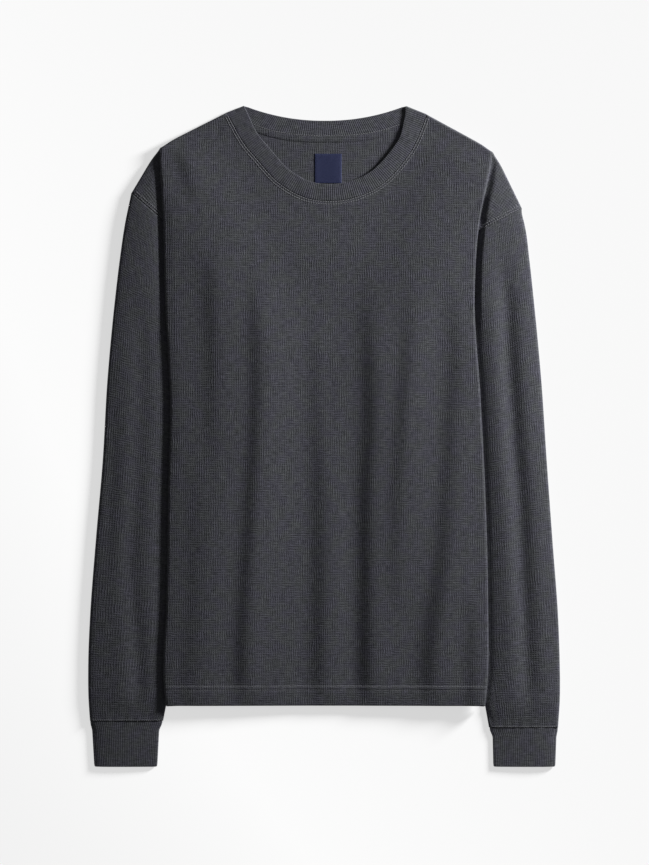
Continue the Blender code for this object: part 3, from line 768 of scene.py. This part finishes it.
def along_arc(arc, u):
    """Points of a curve behind the neck, for u from -1 on the left to 1 on the right."""
    return np.stack([arc.middle + arc.half * u, arc.y + arc.rise * np.abs(u) ** arc.power], axis=-1)


def back_edge_x(side, y):
    inside = np.maximum(fold_radius(side, y) + SEAM_GAP, WALL + BACK_EDGE_GAP)
    return edge_x(side, y) - side.sign * inside


def make_back(material):
    left = shoulder_line(LEFT, BACK_INSET, 14)
    right = shoulder_line(RIGHT, BACK_INSET, 14)[::-1]
    neck = along_arc(BACK_SEAM, np.linspace(-BACK_NECK_REACH, BACK_NECK_REACH, 70)) + (0, 1.0)
    top = np.vstack([left, neck, right])
    u = np.linspace(-1, 1, len(top))
    share = 0.5 + 0.5 * u * (1.25 - 0.25 * u * u)
    plan = panel_rows(top, share, back_edge_x, 1.2, np.linspace(0, 1, 70))[:, ::-1]
    grid = raised(plan, back_under)
    return add_cloth("back_knit", [(grid, knit_coordinates(grid))], material, "back", WALL)


# The sleeves and cuffs


def flat_tube(outer, inner, tops, nose, under_steps):
    """A ring round a flattened tube: over the top from its outer edge to its inner one, and back below."""
    across = unit(inner - outer) * nose
    first, last = tops[0, 2], tops[-1, 2]
    up = ((0.0, 0.40), (0.04, 0.58), (0.16, 0.76), (0.42, 0.91))
    ring = [(*(outer + across * inset), first * height) for inset, height in up]
    ring += [*tops]
    ring += [(*(inner - across * inset), last * height) for inset, height in reversed(up)]
    shares = np.linspace(0, 1, under_steps + 1)[:, None]
    ring += [(*plan, 0.0) for plan in mix(inner - across * 0.7, outer + across * 0.7, shares)]
    return np.array(ring + ring[:1])


def armhole_away(side):
    """The direction across the armhole seam, from the shoulder down the sleeve."""
    return beside(side, side.joint, side.tip)


def armhole_start(side):
    """The first ring's outer, middle and inner points, at the armhole seam."""
    joint = np.array(side.joint) + JOINT_GAP * armhole_away(side)
    return [np.array(side.tip), joint, np.array(side.armpit)]


def sleeve_plan(side, s, start):
    """A sleeve's outer edge, its place under the body's edge and its tucked edge, a share of the way down."""
    ys = [mix(point[1], side.cuff_seam_y, s) for point in start]
    outer = np.array([outer_x(side, ys[0]), ys[0]])
    inner = np.array([tuck_x(side, ys[2]), ys[2]])
    from_start = ease(1 - s * 60)
    outer = mix(outer, start[0], from_start)
    inner = mix(inner, start[2], from_start)
    over_x = side.sign * max(side.sign * edge_x(side, ys[1]), side.sign * inner[0] + 12.0)
    return outer, np.array([over_x, ys[1]]), inner


def tucked_start(side, ring):
    """The sleeve's seam allowance, which goes down and in under the shoulder's point."""
    rings = []
    for back, drop in TUCKED_RINGS:
        moved = ring.copy()
        moved[:, :2] -= back * armhole_away(side)
        moved[:, 2] = np.maximum(moved[:, 2] - drop, np.minimum(moved[:, 2], THIN_WALL + 0.05))
        rings.append(moved)
    return rings


def make_sleeve(side, material):
    start = armhole_start(side)
    near_cuff = 1 - 18.0 / (start[0][1] - side.cuff_seam_y)
    stations = np.concatenate(
        [np.linspace(0, near_cuff, SLEEVE_STEPS + 1), np.linspace(near_cuff, 1, 19)[1:]]
    )
    rings = []
    for s in stations:
        outer, middle, inner = sleeve_plan(side, s, start)
        crown = outer + unit(middle - outer) * SLEEVE_NOSE
        heel = inner + unit(middle - inner) * SLEEVE_NOSE
        shown = crown + np.linspace(0, 1, 37)[:-1, None] * (middle - crown)
        tucked = middle + np.linspace(0, 1, 7)[:, None] * (heel - middle)
        tops = raised(np.vstack([shown, tucked]), partial(sleeve_top, side))
        rings.append(flat_tube(outer, inner, tops, SLEEVE_NOSE, 6))
    grid = np.array(tucked_start(side, rings[0]) + rings)
    around = running(np.linalg.norm(np.diff(grid, axis=1), axis=-1).mean(axis=0))
    knit = knit_at(around[None, :], -run_along(grid[:, 4])[:, None])
    node, patch = f"sleeve_{side.name}", (from_side(side, grid), from_side(side, knit))
    return add_cloth(f"{node}_knit", [patch], material, node, THIN_WALL)


def cuff_ring(side, y, s):
    """A ring of a cuff, at a share of its way down. It narrows from the sleeve, and its corners are round."""
    flare = np.minimum((1 - ease((side.cuff_seam_y - y) / CUFF_FLARE)) * 0.9, 0.8)
    seam = outer_x(side, side.cuff_seam_y), tuck_x(side, side.cuff_seam_y)
    corner = rounding(y - CUFF_Y, CUFF_CORNER) * side.sign
    edges = zip(side.cuff_top, side.cuff_end, seam, (-corner, corner))
    outer, inner = (np.array([mix(mix(a, b, s), c, flare) + trim, y]) for a, b, c, trim in edges)
    nose = unit(inner - outer) * SLEEVE_NOSE
    shares = np.linspace(0, 1, 60)
    plan = mix(outer + nose, inner - nose, shares[:, None])
    hump = arch(shares**CUFF_SKEW) ** mix(0.5, 1.0, ease(3 * s))
    crown = CUFF_LEVEL + CUFF_LOFT * (1 - CUFF_TAPER * s) * hump
    return flat_tube(outer, inner, np.column_stack([plan, crown]), SLEEVE_NOSE, 12)


def make_cuff(side, material):
    top = side.cuff_seam_y + CUFF_TUCK
    shares = edge_rows(20, top - CUFF_Y)
    rings = [cuff_ring(side, mix(top, CUFF_Y, s), s) for s in shares]
    around = run_along(rings[0])
    places, phase = rib_places(around[-1], 6)
    base = from_side(side, np.stack([resampled(ring, around, places) for ring in rings]))
    node = f"cuff_{side.name}"
    return add_rib(f"{node}_rib", base, phase, CUFF_RELIEF, material, node, down=-1.0)


# The neckband and the label


def band_height(side):
    """The height of the neckband's top where it turns over a shoulder."""
    return front_top(*(np.array(side.neck) + shoulder_inset(side)), sewn=False)


def neck_seam(count):
    """The seam of the neckband across the front, and the direction from it into the neckband."""
    seam = smooth_curve(NECK_SEAM, count)
    tangent = np.gradient(seam, axis=0)
    tangent /= np.linalg.norm(tangent, axis=1)[:, None]
    return seam, np.column_stack([-tangent[:, 1], tangent[:, 0]])


def band_stations():
    """(free edge, seam edge) round the neck: across the front to the right, and behind to the left."""
    seam, normal = neck_seam(240)
    share = np.linspace(0, 1, len(seam))
    stations = []
    for i in range(6, len(seam) - 6):
        side = LEFT if share[i] < 0.5 else RIGHT
        ending = 1 - min(share[i], 1 - share[i]) * 8
        direction = normal[i] * BAND_WIDTH
        if ending > 0:
            direction = mix(direction, np.array(BAND_END[side.name]) - side.neck, ease(ending) * 0.8)
        edge = seam[i] + normal[i] * SEAM_GAP
        top = front_top(seam[i, 0], seam[i, 1], sewn=False)
        stations.append(((*(edge + direction), top + BAND_LIFT), (*edge, top)))
    turn = np.radians(np.linspace(90, -60, 11))
    behind = np.linspace(BACK_NECK_REACH, -BACK_NECK_REACH, 120)
    stations += [band_fold(RIGHT, angle) for angle in turn]
    stations += [((*along_arc(BACK_EDGE, u), 0.0), (*along_arc(BACK_SEAM, u), 0.0)) for u in behind]
    stations += [band_fold(LEFT, angle) for angle in turn[::-1]]
    return np.array(stations)


def band_fold(side, angle):
    """The band's two edges where it turns over a shoulder, from 90 degrees on top to -90 beneath."""
    free, base = np.array(BAND_END[side.name]), np.array(side.neck)
    along = unit(free - base)
    out = np.array([-along[1], along[0]]) * -side.sign
    base = base + along * BAND_END_GAP
    half = band_height(side) / 2
    inset = (1 - math.cos(angle)) * (0.5 if angle < 0 else 1.0)
    lift = half * (1 + math.sin(angle))
    return (*(free - out * NECK_RIM * inset), lift), (*(base + shoulder_inset(side) * inset), lift)


def make_neckband(material):
    stations = band_stations()
    loop = np.concatenate([stations, stations[:1]])
    run = run_along(loop.mean(axis=1))
    places, phase = rib_places(run[-1], 8)
    free, seam = (resampled(loop[:, edge], run, places) for edge in (0, 1))
    shares = edge_rows(9, BAND_WIDTH)[:, None, None]
    base = mix(free[None], seam[None], shares)
    in_front = ease((base[..., 2:3] - 3.0) / 2.0)
    base[..., 2:3] += BAND_CROWN * in_front * arch(shares) ** 0.8
    return add_rib("neckband_rib", base, phase, RIB_RELIEF, material, "neckband")


def make_back_tape(material):
    """The seam allowance of the band, turned down and stitched flat across the inside of the back."""
    across = np.linspace(0, 1, 9)[:, None]
    x, y = along_arc(BACK_SEAM, np.linspace(-TAPE_REACH, TAPE_REACH, 160)).T
    height = back_under(x, y) + WALL + TAPE_HEIGHT * arch(across) ** 0.35 - 0.5
    grid = np.stack(np.broadcast_arrays(x, y + TAPE_TOP - across * TAPE_WIDTH, height), axis=-1)
    return add_cloth("back_neck_tape", [(grid, grid[..., :2])], material, wall=TAPE_WALL)


def make_label(material):
    """A plain woven label on the inside of the back, a little lower at its edges."""
    xs = LABEL_X + np.linspace(-0.5, 0.5, 40) * LABEL_WIDTH
    ys = LABEL_Y + np.linspace(0.5, -0.5, 42) * LABEL_HEIGHT
    x, y = np.meshgrid(xs, ys)
    edge = np.minimum(LABEL_WIDTH / 2 - np.abs(x - LABEL_X), LABEL_HEIGHT / 2 - np.abs(y - LABEL_Y))
    swell = 0.2 * ease(edge / 2.5) + 0.1 * np.sin((x - LABEL_X) / 6.0) * ease(edge / 8.0)
    grid = np.stack([x, y, back_under(x, y) + WALL + LABEL_RISE + swell], axis=-1)
    return add_cloth("label_woven", [(grid, grid[..., :2])], material, "label", LABEL_WALL)


# Sewing


def stitch_mesh(name, rows, thread, length):
    """Short rounded stitches along lines of points, each lying just on the cloth."""
    shape = bmesh.new()
    for line in rows:
        run = run_along(line)
        count = int(run[-1] // length)
        for index in range(count):
            ends = np.array([index * length, (index + 1) * length - STITCH_GAP])
            ends = ends * run[-1] / (count * length)
            add_stitch(shape, *(Vector(end) for end in resampled(line, run, ends)), thread)
    mesh = bpy.data.meshes.new(name)
    shape.to_mesh(mesh)
    shape.free()
    mesh.transform(Matrix.Scale(MM, 4))
    mesh.shade_smooth()
    return mesh


def add_stitch(shape, a, b, thread):
    """One stitch: a short thread that dips into the cloth at both ends."""
    along = (b - a).normalized()
    sideways = along.cross(Vector((0, 0, 1))).normalized()
    up = sideways.cross(along)
    turns = [2 * math.pi * k / THREAD_SIDES for k in range(THREAD_SIDES)]
    spokes = [sideways * math.cos(turn) + up * math.sin(turn) for turn in turns]
    rings = []
    for share, fat, lift in STITCH_PROFILE:
        centre = a.lerp(b, share) + up * (thread * lift)
        rings.append([shape.verts.new(centre + spoke * (thread * fat)) for spoke in spokes])
    for first, second in zip(rings, rings[1:]):
        for k in range(THREAD_SIDES):
            shape.faces.new((first[k], first[k - 1], second[k - 1], second[k]))
    shape.faces.new(rings[0])
    shape.faces.new(rings[-1][::-1])


def sewn_into(plan, height, depth):
    """A line of stitching, sunk a little into the cloth below it."""
    return raised(plan, height) - (0, 0, depth)


def neck_stitch_rows():
    seam, inwards = neck_seam(300)
    return [sewn_into((seam - inwards * row)[4:-4], front_top, FRONT_SUNK) for row in NECK_STITCHES]


def level_row(y, first, last, count, height, sunk):
    return sewn_into(knit_at(np.linspace(first, last, count), y), height, sunk)


def hem_stitch_rows():
    rows = []
    for y in HEM_Y + np.array(HEM_STITCHES):
        first, last = edge_x(LEFT, y) + HEM_STITCH_ENDS, edge_x(RIGHT, y) - HEM_STITCH_ENDS
        rows.append(level_row(y, first, last, 400, front_top, FRONT_SUNK))
    return rows


def armhole_stitch_rows(side):
    """Two rows on the shoulder's point, beside the seam that shows between the fold and the silhouette."""
    tip, joint = np.array(side.tip) + point_inset(side), np.array(side.joint)
    line = spaced([tip, joint], 60)
    along = unit(joint - tip)
    up = np.array([along[1], -along[0]])
    up = up if up[1] > 0 else -up
    top = partial(sleeve_top, side)
    return [sewn_into(line + up * row, top, ARMHOLE_SUNK)[2:-2] for row in ARMHOLE_STITCHES]


def tape_stitch_rows():
    """One row along the tape that covers the band's seam inside the back."""
    seam = along_arc(BACK_SEAM, np.linspace(-TAPE_REACH, TAPE_REACH, 120))
    level = np.full(len(seam), WALL + TAPE_HEIGHT - 0.62)
    return [np.column_stack([seam + (0, TAPE_STITCH), level])[1:-1]]


def cuff_stitch_rows(side):
    """One row at the end of the sleeve, where the cuff is joined to it."""
    y = side.cuff_seam_y + CUFF_STITCH
    inset = side.sign * CUFF_STITCH_ENDS
    first, last = outer_x(side, y) - inset, tuck_x(side, y) + inset
    return [level_row(y, first, last, 160, partial(sleeve_top, side), CUFF_SUNK)]


def make_stitches(material):
    rows = (
        neck_stitch_rows(),
        hem_stitch_rows(),
        *(armhole_stitch_rows(side) for side in SIDES),
        tape_stitch_rows(),
        *(cuff_stitch_rows(side) for side in SIDES),
    )
    return [
        add_piece(name, stitch_mesh(name, lines, *thread), material)
        for (name, thread), lines in zip(THREADS.items(), rows)
    ]


# Materials


class Nodes:
    """A short way to write shader nodes."""

    def __init__(self, name):
        self.material = bpy.data.materials.new(name)
        self.material.use_nodes = True
        self.tree = self.material.node_tree
        self.shader = self.tree.nodes["Principled BSDF"]

    def add(self, kind, settings=None, **inputs):
        made = self.tree.nodes.new(kind)
        for key, value in (settings or {}).items():
            setattr(made, key, value)
        self.fill(made, **inputs)
        return made

    def fill(self, node, **inputs):
        for key, value in inputs.items():
            self.put(node.inputs[key.replace("_", " ")], value)

    def put(self, socket, value):
        if isinstance(value, bpy.types.NodeSocket):
            self.tree.links.new(value, socket)
        else:
            socket.default_value = value

    def math(self, operation, a, b=0.0, c=0.0):
        made = self.add("ShaderNodeMath", {"operation": operation})
        for socket, value in zip(made.inputs, (a, b, c)):
            self.put(socket, value)
        return made.outputs[0]

    def scaled(self, value, by, plus=0.0):
        return self.math("MULTIPLY_ADD", value, by, plus)

    def noise(self, vector, scale, detail=2.0, roughness=0.5):
        settings = {"Vector": vector, "Scale": scale, "Detail": detail, "Roughness": roughness}
        return self.add("ShaderNodeTexNoise", **settings).outputs["Fac"]

    def stretched(self, vector, x, y):
        return self.add("ShaderNodeMapping", Vector=vector, Scale=(x, y, 1.0)).outputs[0]

    def clamped(self, value):
        return self.add("ShaderNodeClamp", Value=value).outputs[0]

    def blend(self, factor, a, b, how="MIX"):
        settings = {"data_type": "RGBA", "blend_type": how}
        return self.add("ShaderNodeMix", settings, Factor=factor, A=a, B=b).outputs["Result"]


def knit_place(nodes):
    """The knit's UV map as a vector and its two parts, in metres along the rows and the wales."""
    place = nodes.add("ShaderNodeUVMap", {"uv_map": "knit"}).outputs[0]
    parts = nodes.add("ShaderNodeSeparateXYZ", Vector=place)
    return place, parts.outputs[0], parts.outputs[1]


def ridge(nodes, place, pitch, wobble, power):
    """A row of ridges across one direction, from 0 between them to 1 on top."""
    phase = nodes.scaled(place, 2 * math.pi / (pitch * MM), wobble)
    wave = nodes.scaled(nodes.math("COSINE", phase), 0.5, 0.5)
    return nodes.math("POWER", wave, power)


def heather(nodes, place):
    """Melange yarn: fine specks, short streaks along the rows, and a slow drift of hue."""
    specks = nodes.noise(place, 900.0, 2.0, 0.6)
    streaks = nodes.noise(nodes.stretched(place, 110.0, 700.0), 1.0, 3.0, 0.6)
    wales = nodes.noise(nodes.stretched(place, 600.0, 90.0), 1.0, 2.0, 0.55)
    drift = nodes.noise(place, 60.0, 2.0, 0.5)
    total = nodes.scaled(specks, 1.1, -0.05)
    total = nodes.scaled(streaks, 1.7, nodes.math("SUBTRACT", total, 0.85))
    total = nodes.scaled(wales, 0.8, nodes.math("SUBTRACT", total, 0.40))
    grey = nodes.blend(nodes.clamped(total), DARK_YARN, LIGHT_YARN)
    hue = nodes.blend(nodes.clamped(nodes.scaled(drift, 4.0, -1.5)), COOL, WARM)
    return nodes.blend(1.0, grey, hue, "MULTIPLY")


def shaded(nodes, colour, height, low, high):
    """The colour made darker in the hollows of the knit, where little light gets in."""
    level = nodes.scaled(height, high - low, low)
    made = nodes.add("ShaderNodeVectorMath", {"operation": "SCALE"}, Scale=level)
    nodes.put(made.inputs[0], colour)
    return made.outputs[0]


def finish_knit(nodes, colour, height, depth, roughness=0.92):
    """Matt cloth with a soft sheen, whose relief is a number of millimetres deep."""
    bump = nodes.add("ShaderNodeBump", Strength=1.0, Distance=depth * MM, Height=height)
    nodes.fill(nodes.shader, Base_Color=colour, Normal=bump.outputs[0], Roughness=roughness)
    nodes.fill(nodes.shader, Sheen_Weight=0.12, Sheen_Roughness=0.5, Specular_IOR_Level=0.25)
    return nodes.material


def waffle_material():
    nodes = Nodes("charcoal_waffle")
    place, u, v = knit_place(nodes)
    wobble = nodes.scaled(nodes.noise(place, 90.0, 3.0), 8.0, -4.0)
    wales = ridge(nodes, u, WAFFLE, wobble, 1.4)
    rows = ridge(nodes, v, WAFFLE, wobble, 1.4)
    patches = nodes.clamped(nodes.scaled(nodes.noise(place, 65.0, 1.0), 3.0, -1.0))
    wales = nodes.math("MULTIPLY", wales, nodes.scaled(patches, 0.45, 0.35))
    rows = nodes.math("MULTIPLY", rows, nodes.scaled(patches, -0.4, 0.72))
    grid = nodes.math("MAXIMUM", wales, rows)
    colour = shaded(nodes, heather(nodes, place), grid, 0.8, 1.14)
    yarn = nodes.noise(place, 1500.0, 2.0)
    height = nodes.scaled(yarn, 0.22, grid)
    return finish_knit(nodes, colour, height, 0.32)


def rib_material():
    nodes = Nodes("charcoal_rib")
    place, u, v = knit_place(nodes)
    ribs = ridge(nodes, u, RIB, 0.0, 1.0)
    rows = ridge(nodes, v, 1.5, nodes.math("MULTIPLY", nodes.noise(place, 300.0), 3.0), 1.0)
    colour = shaded(nodes, heather(nodes, place), ribs, 0.86, 1.08)
    height = nodes.scaled(rows, 0.35, ribs)
    return finish_knit(nodes, colour, height, 0.09)


def thread_material():
    nodes = Nodes("grey_thread")
    place = nodes.add("ShaderNodeTexCoord").outputs["Object"]
    twist = nodes.noise(place, 900.0, 2.0)
    colour = nodes.blend(twist, (0.12, 0.121, 0.13, 1), (0.24, 0.243, 0.26, 1))
    return finish_knit(nodes, colour, twist, 0.1)


def label_material():
    nodes = Nodes("navy_woven")
    place, u, v = knit_place(nodes)
    rows = ridge(nodes, v, 0.55, 0.0, 1.0)
    wales = ridge(nodes, u, 0.8, nodes.math("MULTIPLY", nodes.noise(place, 500.0), 2.0), 1.0)
    height = nodes.scaled(rows, 0.5, wales)
    fleck = nodes.noise(nodes.stretched(place, 300.0, 1500.0), 1.0, 2.0)
    colour = nodes.blend(fleck, (0.013, 0.018, 0.064, 1), (0.026, 0.034, 0.102, 1))
    return finish_knit(nodes, colour, height, 0.08, roughness=0.6)


# The stage


PIXEL = 1.2  # millimetres of floor across one pixel
PICTURE_HEIGHT = 865
CENTRE = (0.54, 4.5)  # what lies at the middle of the picture
CAMERA_HEIGHT, TOP_HEIGHT = 3000.0, 8.0  # above the cloth, and the cloth's own
KEY = (1.62, 0.85, 0.48)  # metres, low from the upper right
KEY_POWER, KEY_SIZE = 66.0, 0.40
WORLD_LIGHT = 0.10
FLOOR_SIZE, FLOOR_Z = 8.0, -0.0002  # metres
FLOOR_FALL, FLOOR_DARKEST, FLOOR_PALEST = 2.75, 0.15, 0.92
FLOOR_GLOW = 0.60
FLOOR_ALBEDO = 0.62  # beneath the middle of the top


def add_camera():
    data = bpy.data.cameras.new("camera")
    data.sensor_width = 36.0
    data.lens = data.sensor_width * CAMERA_HEIGHT / (PICTURE_HEIGHT * PIXEL)
    camera = placed("camera", data)
    camera.location = (CENTRE[0] * MM, CENTRE[1] * MM, (CAMERA_HEIGHT + TOP_HEIGHT) * MM)
    bpy.context.scene.camera = camera


def add_key_light():
    data = bpy.data.lights.new("key", "AREA")
    data.shape = "DISK"
    data.size = KEY_SIZE
    data.energy = KEY_POWER
    light = placed("key", data)
    light.location = KEY
    light.rotation_euler = (-Vector(KEY)).to_track_quat("-Z", "Y").to_euler()


def add_floor():
    """A pale floor, whose grey is lighter away from the lamp, so that it shows as evenly white."""
    bpy.ops.mesh.primitive_plane_add(size=FLOOR_SIZE, location=(0, 0, FLOOR_Z))
    floor = bpy.context.object
    floor.name = "floor"
    nodes = Nodes("pale_floor")
    place = nodes.add("ShaderNodeTexCoord").outputs["Object"]
    apart = nodes.add("ShaderNodeVectorMath", {"operation": "DISTANCE"})
    nodes.put(apart.inputs[0], place)
    nodes.put(apart.inputs[1], KEY)
    nearness = nodes.math("DIVIDE", apart.outputs["Value"], Vector(KEY).length)
    evenness = nodes.math("MULTIPLY", nodes.math("POWER", nearness, FLOOR_FALL), FLOOR_ALBEDO)
    grey = nodes.math("MINIMUM", nodes.math("MAXIMUM", evenness, FLOOR_DARKEST), FLOOR_PALEST)
    nodes.fill(nodes.shader, Base_Color=grey, Roughness=0.9, Specular_IOR_Level=0.1)
    nodes.fill(nodes.shader, Emission_Color=(1.0, 1.0, 1.0, 1.0), Emission_Strength=FLOOR_GLOW)
    floor.data.materials.append(nodes.material)


def set_world():
    world = bpy.data.worlds.new("studio")
    world.use_nodes = True
    background = world.node_tree.nodes["Background"]
    background.inputs["Color"].default_value = (1.0, 1.0, 1.0, 1.0)
    background.inputs["Strength"].default_value = WORLD_LIGHT
    bpy.context.scene.world = world


def main():
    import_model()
    bpy.context.scene.view_settings.view_transform = "Standard"
    add_camera()
    add_floor()
    set_world()
    add_key_light()

    waffle, rib = waffle_material(), rib_material()
    thread, navy = thread_material(), label_material()
    front = make_front(waffle)
    back = make_back(waffle)
    sleeves = [make_sleeve(side, waffle) for side in SIDES]
    cuffs = [make_cuff(side, rib) for side in SIDES]
    band = make_neckband(rib)
    tape = make_back_tape(waffle)
    label = make_label(navy)
    sewn = make_stitches(thread)


main()
